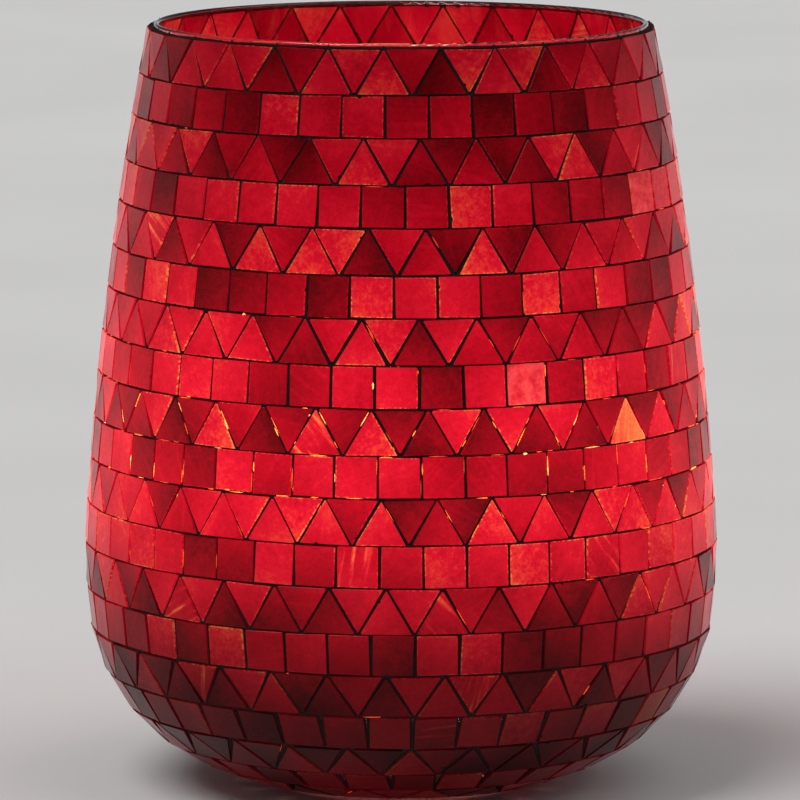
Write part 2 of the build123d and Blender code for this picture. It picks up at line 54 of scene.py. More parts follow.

# --- Light inside the lamp, painted into the tiles' glow by height -------------------------------------
# The tiles' glow and the shade on their lower part are painted by height, not cast by the bulb; the
# painted shade stands for the bulb's opaque body.
LIGHT_HEIGHT = 0.5 * (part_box("bulb_dome")[0].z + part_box("bulb_dome")[1].z)
GLOW_REACH = 115 * MM          # the wall's distance from the light, where it is brightest
GLOW_FALL = 1.1                # how steeply the glow falls above and below that
SHADE_TOP = 120 * MM           # the painted shade, standing for the bulb's opaque body, starts below this
SHADE_BOTTOM = 30 * MM         # the painted shade is full below this
SHADE_FLOOR = 0.12             # light that still reaches the foot by way of the glass
INSIDE_GAIN = 1.45             # painted light: how bright a tile's inner face, which faces the bulb, is against its outer one
INSIDE_LIGHT_HEAT = 0.11             # painted light: the tone's shift towards hot on the inner faces
DIM_HEAT = -0.05               # painted shade: the tone's shift where there is no glow
GAIN = (0.92, 1.08)            # how unevenly tiles side by side are lit

# --- Tiles ---------------------------------------------------------------------------------------------
ARRIS = 0.14 * MM              # ground edge of each tile's face
EDGE_BAND = 0.55 * MM          # width of the painted edge glow, a brighter band inside a tile's edge
EDGE_STEPS = 4                 # pieces that each cut edge is broken into
SHORT_CUT = 0.42 * MM          # how far a cut may fall short of the line
NIBBLE = 0.08 * MM             # how uneven a cut is
LEVEL = 0.06 * MM              # how much tiles differ in thickness
TILT = math.radians(0.35)      # how far a tile may lean
CHIP_CHANCE = 0.16             # share of the tiles with a chip in one side
CHIP_DEPTH = (0.25 * MM, 0.75 * MM)
CHIP_WIDTH = (0.8 * MM, 2.6 * MM)
# A chip's outline: places along it, as shares of its width, and how deep it is there.
CHIP_PROFILE = ((-0.5, 0.0), (-0.3, 0.7), (0.0, 1.0), (0.2, 0.65), (0.5, 0.0))
# How much of each corner is lost, on triangles and on squares.
CORNER_CUTS = {3: (0.15 * MM, 0.75 * MM), 4: (0.08 * MM, 0.35 * MM)}
EDGE_LIGHT = (0.6, 1.3)        # how unevenly cut edges catch the light, as a painted glow
BACK_EDGE_LIGHT = 0.6          # the painted edge glow on the back's edges against the front's
TONE_DRIFT = 0.06              # how much the tone changes across one tile
SHEET_REACH = 9                # tiles are cut from places up to this far along the glass's pattern

# The kinds of glass: share of the tiles, lowest and highest tone, strength of clouds, wisps and painted
# edge glow, chance that an edge has that painted glow, and how pale it is.
Kind = namedtuple("Kind", "share low high clouds wisps edges edge_chance pale")
KINDS = (
    Kind(0.30, 0.30, 0.41, 0.07, 0.05, 0.20, 0.30, 0.0),
    Kind(0.20, 0.44, 0.55, 0.08, 0.08, 0.25, 0.40, 0.0),
    Kind(0.27, 0.60, 0.69, 0.10, 0.05, 0.28, 0.55, 0.0),
    Kind(0.17, 0.68, 0.76, 0.17, 0.00, 0.30, 0.80, 0.0),
    Kind(0.045, 0.52, 0.66, 0.10, 0.40, 0.30, 0.60, 0.0),
    Kind(0.012, 0.90, 0.94, 0.05, 0.10, 0.10, 0.80, 0.0),
    Kind(0.002, 0.62, 0.68, 0.16, 0.15, 0.20, 0.60, 0.60),
)
# The glass's colours, from the darkest tone to the hottest, and the colour of its pale clouds.
RUBY = (
    (0.00, (0.030, 0.0000, 0.0008)),
    (0.25, (0.150, 0.0003, 0.0026)),
    (0.50, (0.500, 0.0010, 0.0110)),
    (0.70, (0.780, 0.0060, 0.0240)),
    (0.86, (0.930, 0.0500, 0.0300)),
    (1.00, (1.000, 0.2100, 0.0550)),
)
PALE_RUBY = (1.0, 0.10, 0.10, 1.0)
UNLIT_SHARE = (0.07, 0.07, 0.07, 1.0)    # the glass's colour by the room's light, against the lamp's

# --- Grout ---------------------------------------------------------------------------------------------
GROUT_DEPTH = 0.80 * MM        # the joints' surface below the tiles' faces
GROUT_BACK = 0.35 * MM         # the grout's back above the tiles' backs
GROUT_REACH = 0.70 * MM        # past a tile's edge, to beyond the middle of the widest joint
GROUT_TUCK = 1.0 * MM          # how far it goes under a tile's edge
COLLAR_ROW = "square_row_08"   # the row where the cord grommet takes the place of one square
COLLAR_GAP = 0.05 * MM         # between the grommet's flange and the grout round it
COLLAR_STEPS = 48
RIM_STEPS = 360
RIM_GAP = 0.02 * MM            # kept clear of the CAD ring's inner and outer faces
RIM_WAVER = 1.2                # how uneven the fillet's height is
RIM_MEMORY = 0.8               # how slowly that changes from one step to the next
# The rim fillet's section: share of the way from the glass to the tiles' faces, and height.
RIM_PROFILE = ((0.0, 0.0), (1.0, 0.0), (0.92, 0.12 * MM), (0.55, 0.25 * MM), (0.0, 0.45 * MM))

# --- Lit adhesive in the joints, called leaks here: painted light, placed by height --------------------
LEAK_HEIGHT = 138 * MM         # where a joint is most often lit
LEAK_SPREAD = 24 * MM
LEAK_CHANCE = 0.68             # share of the tiles' sides that are lit at that height
LEAK_STRAY = 0.03              # share that is lit far from it
LEAK_LENGTH = (1.0 * MM, 8.0 * MM)
LEAK_WIDTH = (0.14 * MM, 0.42 * MM)
LEAK_SHIFT = (-0.25 * MM, 0.1 * MM)      # across the side, from the joint to the tile
LEAK_SHARE = 0.7               # the most of a side's length that is lit
LEAK_RISE = 0.30 * MM          # above the grout
LEAK_ROOT = 0.10 * MM          # how deep its foot is in the grout
LEAK_WARMTH = (0.25, 1.1)
FAR_WARMTH = 0.35              # a leak's warmth far from LEAK_HEIGHT, against its warmth there
CHIP_LEAK = 1.3                # a lit chip's width against its depth
CHIP_WARMTH = (0.7, 1.1)
# A leak's outline: shares of its length and of its width.
LEAK_OUTLINE = ((-0.5, 0.0), (-0.2, -0.4), (0.15, -0.5), (0.5, 0.0), (0.2, 0.5), (-0.15, 0.4))

# --- Stage ---------------------------------------------------------------------------------------------
CAMERA_PLACE = (-0.0004, -2.433, 0.498)
CAMERA_AIM = 0.1426            # height of the point on the axis that the picture is centred on
SENSOR = 36.0
LENS = 297.9
FLOOR_RADIUS = 14.0
FLOOR_STEPS = 96
WALL_COLOUR = (0.62, 0.62, 0.64, 1.0)
WALL_FADE = (0.03, 0.18)       # sine of the elevation where the walls start and end to fade
WALL_LIGHT = (0.97, 0.22)      # their light at the horizon and overhead
# The lights: name, place, strength, and angle in degrees across which they spread.
SUNS = (
    ("key_light", (-1.2, -0.9, 2.6), 1.5, 35.0),
    ("fill_light", (1.6, -0.3, 2.2), 0.6, 60.0),
)


def smoothstep(low, high, value):
    """Smooth rise from 0 at low to 1 at high."""
    share = min(max((value - low) / (high - low), 0.0), 1.0)
    return share * share * (3 - 2 * share)


def glow_at(height):
    """How brightly the bulb lights the wall at a height, against 1 beside the bulb: painted glow, with
    painted shade below.
    """
    rise = (height - LIGHT_HEIGHT) / GLOW_REACH
    shade = SHADE_FLOOR + (1 - SHADE_FLOOR) * smoothstep(SHADE_BOTTOM, SHADE_TOP, height)
    return shade * (1 + rise * rise) ** -GLOW_FALL


# --- Materials -----------------------------------------------------------------------------------------
NOISE_SPAN = (0.3, 0.7)        # nearly all of a noise's values lie between these


class Shader:
    """A material's node tree, with one short call for each kind of node that is used here."""

    def __init__(self, name, **sockets):
        self.material = bpy.data.materials.new(name)
        self.material.use_nodes = True
        self.tree = self.material.node_tree
        self.principled = self.tree.nodes["Principled BSDF"]
        for socket, value in sockets.items():
            self.principled.inputs[socket.replace("_", " ")].default_value = value

    def node(self, kind, inputs=(), **settings):
        """Add a node, set its properties and link or set its inputs."""
        made = self.tree.nodes.new(kind)
        for name, value in settings.items():
            setattr(made, name, value)
        for socket, value in dict(inputs).items():
            if isinstance(value, bpy.types.NodeSocket):
                self.tree.links.new(value, made.inputs[socket])
            else:
                made.inputs[socket].default_value = value
        return made

    def attribute(self, name, output="Fac"):
        """A value that the mesh carries."""
        return self.node("ShaderNodeAttribute", attribute_name=name).outputs[output]

    def place(self):
        """The object's own coordinates."""
        return self.node("ShaderNodeTexCoord").outputs["Object"]

    def noise(self, vector, scale, detail, roughness=0.5):
        """Cloudy noise from 0 to 1."""
        inputs = {"Vector": vector, "Scale": scale, "Detail": detail, "Roughness": roughness}
        return self.node("ShaderNodeTexNoise", inputs).outputs["Fac"]

    def stretch(self, vector, scale):
        """Coordinates stretched by a factor for each axis."""
        inputs = {"Vector": vector, "Scale": scale}
        return self.node("ShaderNodeMapping", inputs).outputs["Vector"]

    def maths(self, operation, first, second):
        """One arithmetic step."""
        return self.node("ShaderNodeMath", {0: first, 1: second}, operation=operation).outputs[0]

    def spread(self, value, low, high, to_low=0.0, to_high=1.0):
        """Map a range of values onto another, with the ends held."""
        inputs = {
            "Value": value, "From Min": low, "From Max": high, "To Min": to_low, "To Max": to_high,
        }
        return self.node("ShaderNodeMapRange", inputs).outputs["Result"]

    def level(self, noise, low, high):
        """Spread noise over a range, with its ends held."""
        return self.spread(noise, *NOISE_SPAN, low, high)

    def ramp(self, value, *stops):
        """Colours along a value, each stop a place and its colour."""
        made = self.node("ShaderNodeValToRGB", {"Fac": value})
        elements = made.color_ramp.elements
        while len(elements) < len(stops):
            elements.new(0.5)
        for element, (place, colour) in zip(elements, stops):
            element.position = place
            element.color = (*colour, 1.0)
        return made.outputs["Color"]

    def mix(self, factor, first, second, blend="MIX"):
        """Mix two colours, which are the node's inputs 6 and 7 and its output 2."""
        inputs = {0: factor, 6: first, 7: second}
        return self.node("ShaderNodeMix", inputs, data_type="RGBA", blend_type=blend).outputs[2]

    def bump(self, height, distance):
        """Surface relief of a depth in metres."""
        inputs = {"Height": height, "Distance": distance, "Strength": 1.0}
        return self.node("ShaderNodeBump", inputs).outputs["Normal"]

    def feed(self, **links):
        """Link values into the shader's own sockets."""
        for socket, value in links.items():
            self.tree.links.new(value, self.principled.inputs[socket.replace("_", " ")])
        return self.material


def ruby_glass():
    """Streaky ruby art glass: each tile has its own tone, clouds and wisps, a painted glow along its cut
    edges, and the lamp's light painted in as emission.
    """
    shader = Shader("ruby_glass", IOR=1.5, Specular_IOR_Level=0.09, Emission_Strength=1.06)
    place = shader.attribute("place", "Vector")
    # tone holds the tile's own tone with painted shade and, on inner faces, painted light in it; glow is
    # the painted light through the tile; rim is the painted glow along its cut edges.
    tone, glow, rim = (shader.attribute(name) for name in ("tone", "glow", "rim"))
    clouds = shader.level(shader.noise(place, 260, 4, 0.6), -0.5, 0.5)
    blotches = shader.level(shader.noise(place, 700, 3, 0.65), -0.5, 0.5)
    grain = shader.level(shader.noise(place, 2600, 2), -0.035, 0.035)
    wisps = shader.spread(
        shader.noise(shader.stretch(place, (1.0, 0.09, 1.0)), 420, 3, 0.55), 0.52, 0.72
    )
    mottle = shader.maths("MULTIPLY", shader.maths("ADD", clouds, blotches), shader.attribute("mottle"))
    streak = shader.maths("MULTIPLY", wisps, shader.attribute("streak"))
    # Painted glow along the cut edges, broken up by noise.
    edge_break = shader.spread(shader.noise(place, 900, 2), 0.4, 0.65)
    edge = shader.maths("MULTIPLY", rim, edge_break)
    heat = tone
    for part in (mottle, streak, grain, edge):
        heat = shader.maths("ADD", heat, part)
    colour = shader.ramp(heat, *RUBY)
    pale_clouds = shader.spread(clouds, -0.4, 0.4, 0.15, 1.0)
    colour = shader.mix(shader.maths("MULTIPLY", shader.attribute("pale"), pale_clouds), colour, PALE_RUBY)
    # Painted light: the glow through the tile, drawn by height, goes out as its emission.
    lit = shader.mix(1.0, colour, glow, "MULTIPLY")
    unlit = shader.mix(1.0, colour, UNLIT_SHARE, "MULTIPLY")
    waves = shader.noise(place, 150, 2)
    return shader.feed(
        Base_Color=unlit,
        Emission_Color=lit,
        Roughness=shader.level(waves, 0.10, 0.24),
        Normal=shader.bump(shader.maths("ADD", waves, grain), 0.08 * MM),
    )


def lit_joint_glue():
    """Clear adhesive showing in a joint that the grout missed, with the bulb's light behind it painted in
    as its emission.
    """
    shader = Shader("lit_joint_glue", Roughness=0.35, Specular_IOR_Level=0.2, Emission_Strength=1.4)
    warmth = shader.attribute("warmth")
    flicker = shader.noise(shader.place(), 1500, 2)
    heat = shader.maths("MULTIPLY", warmth, shader.level(flicker, 0.55, 1.25))
    colour = shader.ramp(
        heat,
        (0.0, (0.25, 0.004, 0.004)),
        (0.4, (0.90, 0.09, 0.015)),
        (0.7, (1.00, 0.36, 0.04)),
        (1.0, (1.00, 0.80, 0.28)),
    )
    return shader.feed(Base_Color=colour, Emission_Color=colour)


def black_grout():
    """Sanded black grout, a little worn and dusty."""
    shader = Shader("black_grout", Specular_IOR_Level=0.2)
    place = shader.place()
    sand = shader.noise(place, 3800, 3, 0.7)
    patches = shader.noise(place, 120, 3)
    colour = shader.ramp(
        shader.maths("ADD", shader.maths("MULTIPLY", sand, 0.6), shader.maths("MULTIPLY", patches, 0.4)),
        (0.30, (0.004, 0.002, 0.002)),
        (0.70, (0.022, 0.009, 0.008)),
    )
    return shader.feed(
        Base_Color=colour,
        Roughness=shader.level(sand, 0.75, 0.95),
        Normal=shader.bump(sand, 0.10 * MM),
    )


def clear_glass():
    """Blown clear glass with faint waves."""
    shader = Shader("clear_glass", IOR=1.5, Transmission_Weight=1.0)
    waves = shader.noise(shader.place(), 22, 2)
    return shader.feed(
        Base_Color=shader.ramp(waves, (0.3, (0.98, 0.95, 0.94)), (0.7, (1.0, 0.985, 0.98))),
        Roughness=shader.level(waves, 0.005, 0.03),
        Normal=shader.bump(waves, 0.15 * MM),
    )


def moulded(name, colour, roughness, scale, depth, **sockets):
    """A moulded or pressed material: slight colour drift and a fine skin."""
    shader = Shader(name, **sockets)
    place = shader.place()
    skin = shader.noise(place, scale, 3, 0.6)
    drift = shader.noise(place, 60, 2)
    darker = tuple(0.78 * channel for channel in colour)
    lighter = tuple(min(1.0, 1.1 * channel) for channel in colour)
    return shader.feed(
        Base_Color=shader.ramp(drift, (0.3, darker), (0.7, lighter)),
        Roughness=shader.level(skin, roughness - 0.08, roughness + 0.08),
        Normal=shader.bump(skin, depth),
    )


def turned_metal(name, colour, roughness):
    """Metal with turning marks round the lamp's axis and a little tarnish."""
    shader = Shader(name, Metallic=1.0)
    place = shader.place()
    marks = shader.noise(shader.stretch(place, (0.02, 0.02, 1.0)), 6000, 2)
    tarnish = shader.noise(place, 140, 4, 0.6)
    darker = tuple(0.55 * channel for channel in colour)
    return shader.feed(
        Base_Color=shader.ramp(tarnish, (0.35, darker), (0.6, colour)),
        Roughness=shader.level(tarnish, roughness + 0.15, roughness),
        Normal=shader.bump(marks, 0.02 * MM),
    )


def felt():
    """Pressed black felt with short fibres."""
    shader = Shader("pressed_felt", Specular_IOR_Level=0.1, Sheen_Weight=0.6)
    place = shader.place()
    fibres = shader.noise(shader.stretch(place, (1.0, 0.25, 1.0)), 2800, 4, 0.7)
    return shader.feed(
        Base_Color=shader.ramp(fibres, (0.3, (0.012, 0.012, 0.013)), (0.7, (0.055, 0.053, 0.052))),
        Roughness=shader.level(fibres, 0.9, 1.0),
        Normal=shader.bump(fibres, 0.4 * MM),
    )


def glowing(name, colour, strength, scale):
    """A frosted or phosphor surface that gives the light, a little uneven."""
    shader = Shader(name, Emission_Strength=strength, Roughness=0.5)
    haze = shader.noise(shader.place(), scale, 2)
    dimmer = tuple(0.86 * channel for channel in colour)
    tint = shader.ramp(haze, (0.3, dimmer), (0.7, colour))
    return shader.feed(
        Base_Color=tint, Emission_Color=tint, Roughness=shader.level(haze, 0.4, 0.6)
    )


# --- Mosaic --------------------------------------------------------------------------------------------

class Piece:
    """Points, faces and values of one mesh while it is being made."""

    def __init__(self, *values):
        self.points = []
        self.faces = []
        self.values = {name: [] for name in values}

    def ring(self, points, **values):
        """Add a ring of points, and return their indices. A value is one number for all, or a list."""
        first = len(self.points)
        self.points.extend(points)
        for name, stored in self.values.items():
            value = values[name]
            stored.extend(value if isinstance(value, list) else [value] * len(points))
        return list(range(first, len(self.points)))

    def bridge(self, lower, upper):
        """Faces between two rings of the same length."""
        for i, corner in enumerate(lower):
            j = (i + 1) % len(lower)
            self.faces.append((corner, lower[j], upper[j], upper[i]))

    def close(self, rings):
        """Faces from each ring to the next, and from the last to the first."""
        for i, ring in enumerate(rings):
            self.bridge(rings[i - 1], ring)

    def make(self, name, material, body, slot, *replaced):
        """Make the object, which rides on a body and may stand for CAD nodes."""
        mesh = bpy.data.meshes.new(name)
        mesh.from_pydata(self.points, [], self.faces)
        for value, stored in self.values.items():
            if isinstance(stored[0], float):
                mesh.attributes.new(value, "FLOAT", "POINT").data.foreach_set("value", stored)
            else:
                flat = [number for vector in stored for number in vector]
                mesh.attributes.new(value, "FLOAT_VECTOR", "POINT").data.foreach_set("vector", flat)
        mesh.materials.append(material)
        mesh.validate()
        piece = bpy.data.objects.new(name, mesh)
        bpy.context.scene.collection.objects.link(piece)
        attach(piece, body)
        if replaced:
            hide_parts(*replaced)


class Tile:
    """One tile of the CAD model: its middle, its own axes and its face's corners in them."""

    def __init__(self, corners, normal):
        self.middle = sum(corners, Vector()) / len(corners)
        outward = Vector((self.middle.x, self.middle.y, 0.0)).normalized()
        self.out = normal if normal.dot(outward) > 0 else -normal
        self.along = Vector((-outward.y, outward.x, 0.0))
        self.up = self.out.cross(self.along)
        heights = [(corner - self.middle).dot(self.out) for corner in corners]
        self.front, self.back = max(heights), min(heights)
        face = [corner - self.middle for corner, height in zip(corners, heights) if height > 0]
        flat = [Vector((corner.dot(self.along), corner.dot(self.up))) for corner in face]
        self.outline = sorted(flat, key=lambda corner: math.atan2(corner.y, corner.x))

    def azimuth(self):
        """The direction that the tile faces, as an angle round the lamp's axis."""
        return math.atan2(self.middle.y, self.middle.x)

    def at(self, flat, height):
        """The point in space of a point on the tile, at a height above its middle."""
        return self.middle + self.along * flat.x + self.up * flat.y + self.out * height

    def reach(self):
        """How far its nearest side is from its middle."""
        return min(abs(start.cross(end)) / (end - start).length for start, end in self.sides())

    def swing(self, turn):
        """Move the tile round the lamp's axis."""
        spin = Matrix.Rotation(turn, 3, "Z")
        self.middle, self.out, self.along, self.up = (
            spin @ vector for vector in (self.middle, self.out, self.along, self.up)
        )

    def sides(self):
        """Pairs of corners, in order round the tile."""
        return list(zip(self.outline, self.outline[1:] + self.outline[:1]))


def read_tiles(name):
    """The tiles in a CAD row, in order round the lamp."""
    shape = bmesh.new()
    shape.from_mesh(nodes[name].data)
    bmesh.ops.remove_doubles(shape, verts=shape.verts, dist=0.002 * MM)
    tiles, seen = [], set()
    for first in shape.verts:
        if first in seen:
            continue
        seen.add(first)
        group = [first]
        for vertex in group:
            for edge in vertex.link_edges:
                other = edge.other_vert(vertex)
                if other not in seen:
                    seen.add(other)
                    group.append(other)
        faces = [face for vertex in group for face in vertex.link_faces]
        widest = max(faces, key=lambda face: face.calc_area())
        tiles.append(Tile([vertex.co.copy() for vertex in group], widest.normal.copy()))
    shape.free()
    return sorted(tiles, key=Tile.azimuth)


def inward(run):
    """The direction across a side that runs in a given direction, towards the tile's middle."""
    return Vector((-run.y, run.x))


def crossing(first, second):
    """Where two lines meet, each given by two points."""
    (a, b), (c, d) = first, second
    along, other = b - a, d - c
    share = (c - a).cross(other) / along.cross(other)
    return a + along * share


def cut_outline(tile, dice):
    """A hand-cut tile's outline inside the CAD one: its points, the side each is on, and its chips."""
    lines = []
    for start, end in tile.sides():
        across = inward((end - start).normalized())
        lines.append((
            start + across * SHORT_CUT * dice.random() ** 2,
            end + across * SHORT_CUT * dice.random() ** 2,
        ))
    corners = [crossing(lines[i - 1], line) for i, line in enumerate(lines)]
    count = len(corners)
    cuts = [dice.uniform(*CORNER_CUTS[count]) for _ in corners]
    chipped = dice.randrange(count) if dice.random() < CHIP_CHANCE else None
    points, sides, chips = [], [], []
    for i, corner in enumerate(corners):
        run = corners[(i + 1) % count] - corner
        length = run.length
        run.normalize()
        across = inward(run)
        start, end = cuts[i], length - cuts[(i + 1) % count]
        places = {start + (end - start) * step / EDGE_STEPS: 0.0 for step in range(EDGE_STEPS + 1)}
        if i == chipped:
            width, depth = dice.uniform(*CHIP_WIDTH), dice.uniform(*CHIP_DEPTH)
            centre = dice.uniform(start + width, end - width)
            places = {place: 0.0 for place in places if abs(place - centre) > width / 2}
            for share, bite in CHIP_PROFILE:
                places[centre + share * width] = bite * depth
            chips.append((corner + run * centre, run, width, depth))
        for place in sorted(places):
            nibble = dice.uniform(0, NIBBLE)
            points.append(corner + run * place + across * (places[place] + nibble))
            sides.append(i)
    return points, sides, chips


def pick_kind(dice):
    """One of the kinds of glass, by its share."""
    draw = dice.random() * sum(kind.share for kind in KINDS)
    for kind in KINDS:
        draw -= kind.share
        if draw < 0:
            return kind
    return KINDS[-1]


def lay_tile(piece, tile, dice):
    """Add one hand-cut tile to a row's mesh, and return its chips."""
    outline, sides, chips = cut_outline(tile, dice)
    kind = pick_kind(dice)
    tone = dice.uniform(kind.low, kind.high)
    # Painted light: the glow along each cut edge, on some edges only.
    lights = [
        kind.edges * dice.uniform(*EDGE_LIGHT) if dice.random() < kind.edge_chance else 0.0
        for _ in tile.outline
    ]
    turn, drift = dice.uniform(0, 2 * math.pi), dice.uniform(0, 2 * math.pi)
    home = Vector([dice.uniform(-SHEET_REACH, SHEET_REACH) for _ in range(3)])
    lean = (dice.gauss(0, TILT), dice.gauss(0, TILT))
    level = dice.uniform(-LEVEL, LEVEL)
    gain = dice.uniform(*GAIN)
    # Painted shade: tiles where the glow is low get a darker tone.
    shade_shift = DIM_HEAT * (1 - glow_at(tile.middle.z))
    reach = tile.reach()

    def add(inset, height, light, inside):
        """One ring of the tile, inset from its outline."""
        flat = [point * (1 - inset / reach) for point in outline]
        lifted = [height + lean[0] * point.x + lean[1] * point.y for point in flat]
        points = [tile.at(point, rise) for point, rise in zip(flat, lifted)]
        drifts = [
            TONE_DRIFT * (point.x * math.cos(drift) + point.y * math.sin(drift)) / reach for point in flat
        ]
        turned = [
            (
                home.x + point.x * math.cos(turn) - point.y * math.sin(turn),
                home.y + point.x * math.sin(turn) + point.y * math.cos(turn),
                home.z + rise,
            )
            for point, rise in zip(flat, lifted)
        ]
        # tone holds the painted shade shift and, on the inner faces, the painted light shift; glow is the
        # painted light through the tile; rim is the painted glow along its cut edges.
        return piece.ring(
            points,
            place=turned,
            tone=[tone + shift + shade_shift + (INSIDE_LIGHT_HEAT if inside else 0.0) for shift in drifts],
            glow=[gain * glow_at(point.z) * (INSIDE_GAIN if inside else 1.0) for point in points],
            rim=[light * lights[side] for side in sides],
            mottle=kind.clouds,
            streak=kind.wisps,
            pale=kind.pale,
        )

    back, front = tile.back, tile.front + level
    inner = add(EDGE_BAND, back, 0.0, True)
    back_edge = add(ARRIS, back, BACK_EDGE_LIGHT, True)
    low_edge = add(0.0, back + ARRIS, BACK_EDGE_LIGHT, False)
    high_edge = add(0.0, front - ARRIS, 1.0, False)
    face_edge = add(ARRIS, front, 1.0, False)
    face = add(EDGE_BAND, front, 0.0, False)
    rings = [inner, back_edge, low_edge, high_edge, face_edge, face]
    piece.faces.append(tuple(reversed(inner)))
    for lower, upper in zip(rings, rings[1:]):
        piece.bridge(lower, upper)
    piece.faces.append(tuple(face))
    return chips


def lay_grout(piece, tile):
    """Add the grout round one tile, which goes under its edges and past the middle of each joint."""
    height, back = tile.front - GROUT_DEPTH, tile.back + GROUT_BACK
    reach = tile.reach()
    rings = []
    for inset, level in (
        (-GROUT_REACH, back), (GROUT_TUCK, back), (GROUT_TUCK, height), (-GROUT_REACH, height)
    ):
        rings.append(piece.ring([tile.at(point * (1 - inset / reach), level) for point in tile.outline]))
    piece.close(rings)


def lay_collar(piece):
    """Add the grout round the cord grommet, in the place of the square that is left out there."""
    low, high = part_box("cord_grommet")
    turn = math.atan2(low.y + high.y, low.x + high.x)
    hole = (high.x - low.x) / 2 + COLLAR_GAP
    tile = min(read_tiles(COLLAR_ROW), key=lambda each: abs(each.azimuth() - turn))
    tile.swing(turn - tile.azimuth())
    wide = max(corner.x for corner in tile.outline) + GROUT_REACH
    tall = max(corner.y for corner in tile.outline) + GROUT_REACH
    inner, outer = [], []
    for step in range(COLLAR_STEPS):
        angle = 2 * math.pi * (step + 0.5) / COLLAR_STEPS
        ray = Vector((math.cos(angle), math.sin(angle)))
        inner.append(ray * hole)
        outer.append(ray * min(wide / abs(ray.x), tall / abs(ray.y)))
    height, back = tile.front - GROUT_DEPTH, tile.back + GROUT_BACK
    rings = [
        piece.ring([tile.at(point, level) for point in points])
        for points, level in ((outer, back), (inner, back), (inner, height), (outer, height))
    ]
    piece.close(rings)


def lay_leak(piece, tile, centre, run, length, width, warmth):
    """Add one bright sliver of adhesive on the grout: pointed at its ends, widest in its middle."""
    across = inward(run)
    flat = [centre + run * (u * length) + across * (v * width) for u, v in LEAK_OUTLINE]
    low, high = (
        piece.ring([tile.at(point, tile.front - GROUT_DEPTH + rise) for point in flat], warmth=warmth)
        for rise in (-LEAK_ROOT, LEAK_RISE)
    )
    piece.faces.append(tuple(reversed(low)))
    piece.bridge(low, high)
    piece.faces.append(tuple(high))


def lay_leaks(piece, tile, chips, dice):
    """Add the slivers of lit adhesive round one tile."""
    near = math.exp(-(((tile.middle.z - LEAK_HEIGHT) / LEAK_SPREAD) ** 2))
    for start, end in tile.sides():
        if dice.random() > LEAK_STRAY + LEAK_CHANCE * near:
            continue
        run = (end - start).normalized()
        length = min(dice.uniform(*LEAK_LENGTH), LEAK_SHARE * (end - start).length)
        place = dice.uniform(length / 2, (end - start).length - length / 2)
        centre = start + run * place + inward(run) * dice.uniform(*LEAK_SHIFT)
        warmth = dice.uniform(*LEAK_WARMTH) * (FAR_WARMTH + (1 - FAR_WARMTH) * near)
        lay_leak(piece, tile, centre, run, length, dice.uniform(*LEAK_WIDTH), warmth)
    for centre, run, width, depth in chips:
        if dice.random() < near:
            lay_leak(piece, tile, centre, run, width, CHIP_LEAK * depth, dice.uniform(*CHIP_WARMTH))


def lay_rim(piece, dice):
    """Add the low, uneven fillet of grout between the first row's tops and the glass rim."""
    points = [vertex.co for vertex in nodes["rim_grout"].data.vertices]
    inner = min(math.hypot(point.x, point.y) for point in points) + RIM_GAP
    outer = max(math.hypot(point.x, point.y) for point in points) - RIM_GAP
    foot = min(point.z for point in points)
    rings = [[] for _ in RIM_PROFILE]
    waver = [0.0] * len(RIM_PROFILE)
    for step in range(RIM_STEPS):
        turn = 2 * math.pi * step / RIM_STEPS
        for i, (across, rise) in enumerate(RIM_PROFILE):
            waver[i] = RIM_MEMORY * waver[i] + (1 - RIM_MEMORY) * dice.uniform(-1, 1)
            radius = inner + across * (outer - inner)
            height = foot + rise * (1 + RIM_WAVER * waver[i])
            rings[i].append((radius * math.cos(turn), radius * math.sin(turn), height))
    piece.close([piece.ring(ring) for ring in rings])


ruby = ruby_glass()
dice = random.Random(SEED)
grout = Piece()
leaks = Piece("warmth")
for row in sorted(name for name in nodes if name.startswith(("square_row_", "triangle_row_"))):
    tiles = Piece("place", "tone", "glow", "rim", "mottle", "streak", "pale")
    for tile in read_tiles(row):
        chips = lay_tile(tiles, tile, dice)
        lay_grout(grout, tile)
        lay_leaks(leaks, tile, chips, dice)
    tiles.make(row.replace("row", "tiles"), ruby, LAMP, "mosaic_glass", row)
lay_collar(grout)
black = black_grout()
grout.make("grout_joints", black, LAMP, "grout", "adhesive_bed")
leaks.make("lit_joints", lit_joint_glue(), LAMP, "mosaic_glass")
rim = Piece()
lay_rim(rim, dice)
rim.make("rim_fillet", black, LAMP, "grout", "rim_grout")

# --- Finishes of the CAD nodes that show as they are ----------------------------------------------------
rubber = moulded("black_rubber", (0.022, 0.021, 0.020), 0.62, 900, 0.05 * MM, Specular_IOR_Level=0.35)
thermoset = moulded("black_thermoset", (0.016, 0.015, 0.015), 0.32, 500, 0.02 * MM, Coat_Weight=0.15)
porcelain = moulded("glazed_porcelain", (0.80, 0.77, 0.70), 0.16, 300, 0.02 * MM, Coat_Weight=0.5)
white_plastic = moulded("white_plastic", (0.78, 0.77, 0.74), 0.34, 800, 0.02 * MM, Subsurface_Weight=0.05)
black_glass = moulded("black_glass_insulator", (0.012, 0.012, 0.014), 0.15, 300, 0.02 * MM)
circuit = moulded("green_circuit_board", (0.030, 0.200, 0.070), 0.35, 1500, 0.03 * MM, Coat_Weight=0.4)
solder = turned_metal("solder", (0.62, 0.60, 0.57), 0.30)
zinc = turned_metal("zinc_plated_steel", (0.60, 0.60, 0.58), 0.28)
brass = turned_metal("brass", (0.72, 0.50, 0.22), 0.24)
nickel = turned_metal("nickel_plated_brass", (0.70, 0.67, 0.60), 0.22)
aluminium = turned_metal("aluminium", (0.77, 0.77, 0.77), 0.30)
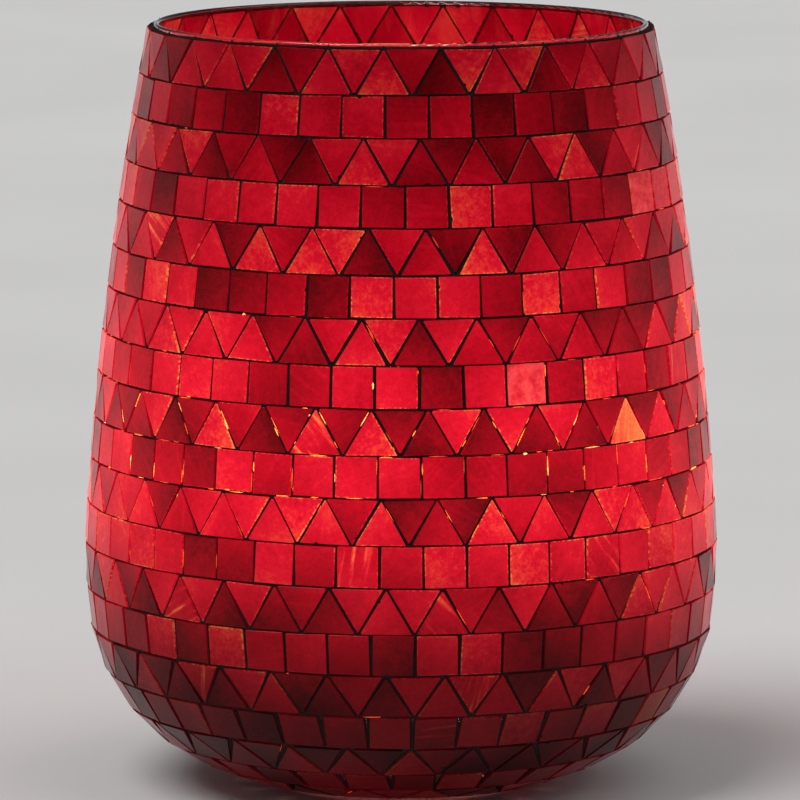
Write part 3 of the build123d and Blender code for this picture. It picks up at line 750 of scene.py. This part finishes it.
FINISHES = {
    "glass_vessel": clear_glass(),
    "cord_grommet": rubber,
    "rubber_washer_lower": rubber,
    "rubber_washer_upper": rubber,
    "felt_ring": felt(),
    "steel_washer_lower": zinc,
    "spread_washer": zinc,
    "hex_nut_lower": zinc,
    "hex_nut_upper": zinc,
    "spacer_tube": zinc,
    "threaded_tube": zinc,
    "cap_locking_screw": zinc,
    "terminal_screws": zinc,
    "lampholder_cap": thermoset,
    "lampholder_skirt": thermoset,
    "contact_carrier": porcelain,
    "screw_shell": brass,
    "centre_contact": brass,
    "side_contact": brass,
    "bulb_contact": solder,
    "bulb_insulator": black_glass,
    "bulb_screw_cap": nickel,
    "bulb_driver_board": circuit,
    "bulb_body": white_plastic,
    "bulb_dome": glowing("frosted_dome", (1.0, 0.66, 0.34), 1.05, 90),
    "bulb_led_board": aluminium,
    "bulb_leds": glowing("led_phosphor", (1.0, 0.74, 0.30), 6.0, 800),
}
for name, material in FINISHES.items():
    mesh = nodes[name].data
    mesh.materials.clear()
    mesh.materials.append(material)

# --- Floor, light and camera ----------------------------------------------------------------------------
scene = bpy.context.scene
scene.view_settings.view_transform = "Standard"

floor_mesh = bpy.data.meshes.new("floor")
edge_points = [
    (FLOOR_RADIUS * math.cos(turn), FLOOR_RADIUS * math.sin(turn), 0.0)
    for turn in (2 * math.pi * step / FLOOR_STEPS for step in range(FLOOR_STEPS))
]
floor_mesh.from_pydata(edge_points, [], [tuple(range(FLOOR_STEPS))])
floor = bpy.data.objects.new("floor", floor_mesh)
scene.collection.objects.link(floor)
floor_shader = Shader("pale_floor", Specular_IOR_Level=0.15)
drift = floor_shader.noise(floor_shader.place(), 3, 2)
floor_mesh.materials.append(floor_shader.feed(
    Base_Color=floor_shader.ramp(drift, (0.3, (0.83, 0.82, 0.81)), (0.7, (0.87, 0.86, 0.85))),
    Roughness=floor_shader.level(drift, 0.75, 0.9),
))

# The studio's walls are as pale as the floor at the horizon and dim higher up.
world = bpy.data.worlds.new("studio")
world.use_nodes = True
scene.world = world
walls = world.node_tree
background = walls.nodes["Background"]
background.inputs["Color"].default_value = WALL_COLOUR
direction = walls.nodes.new("ShaderNodeTexCoord")
split = walls.nodes.new("ShaderNodeSeparateXYZ")
fade = walls.nodes.new("ShaderNodeMapRange")
for socket, value in zip(("From Min", "From Max", "To Min", "To Max"), (*WALL_FADE, *WALL_LIGHT)):
    fade.inputs[socket].default_value = value
walls.links.new(direction.outputs["Generated"], split.inputs["Vector"])
walls.links.new(split.outputs["Z"], fade.inputs["Value"])
walls.links.new(fade.outputs["Result"], background.inputs["Strength"])

for name, place, strength, softness in SUNS:
    light = bpy.data.lights.new(name, "SUN")
    light.energy = strength
    light.angle = math.radians(softness)
    sun = bpy.data.objects.new(name, light)
    sun.location = place
    sun.rotation_euler = (-Vector(place)).to_track_quat("-Z", "Y").to_euler()
    scene.collection.objects.link(sun)

lens = bpy.data.cameras.new("camera")
lens.sensor_width = SENSOR
lens.lens = LENS
camera = bpy.data.objects.new("camera", lens)
camera.location = CAMERA_PLACE
aim = Vector((CAMERA_PLACE[0], 0.0, CAMERA_AIM)) - Vector(CAMERA_PLACE)
camera.rotation_euler = aim.to_track_quat("-Z", "Y").to_euler()
scene.collection.objects.link(camera)
scene.camera = camera
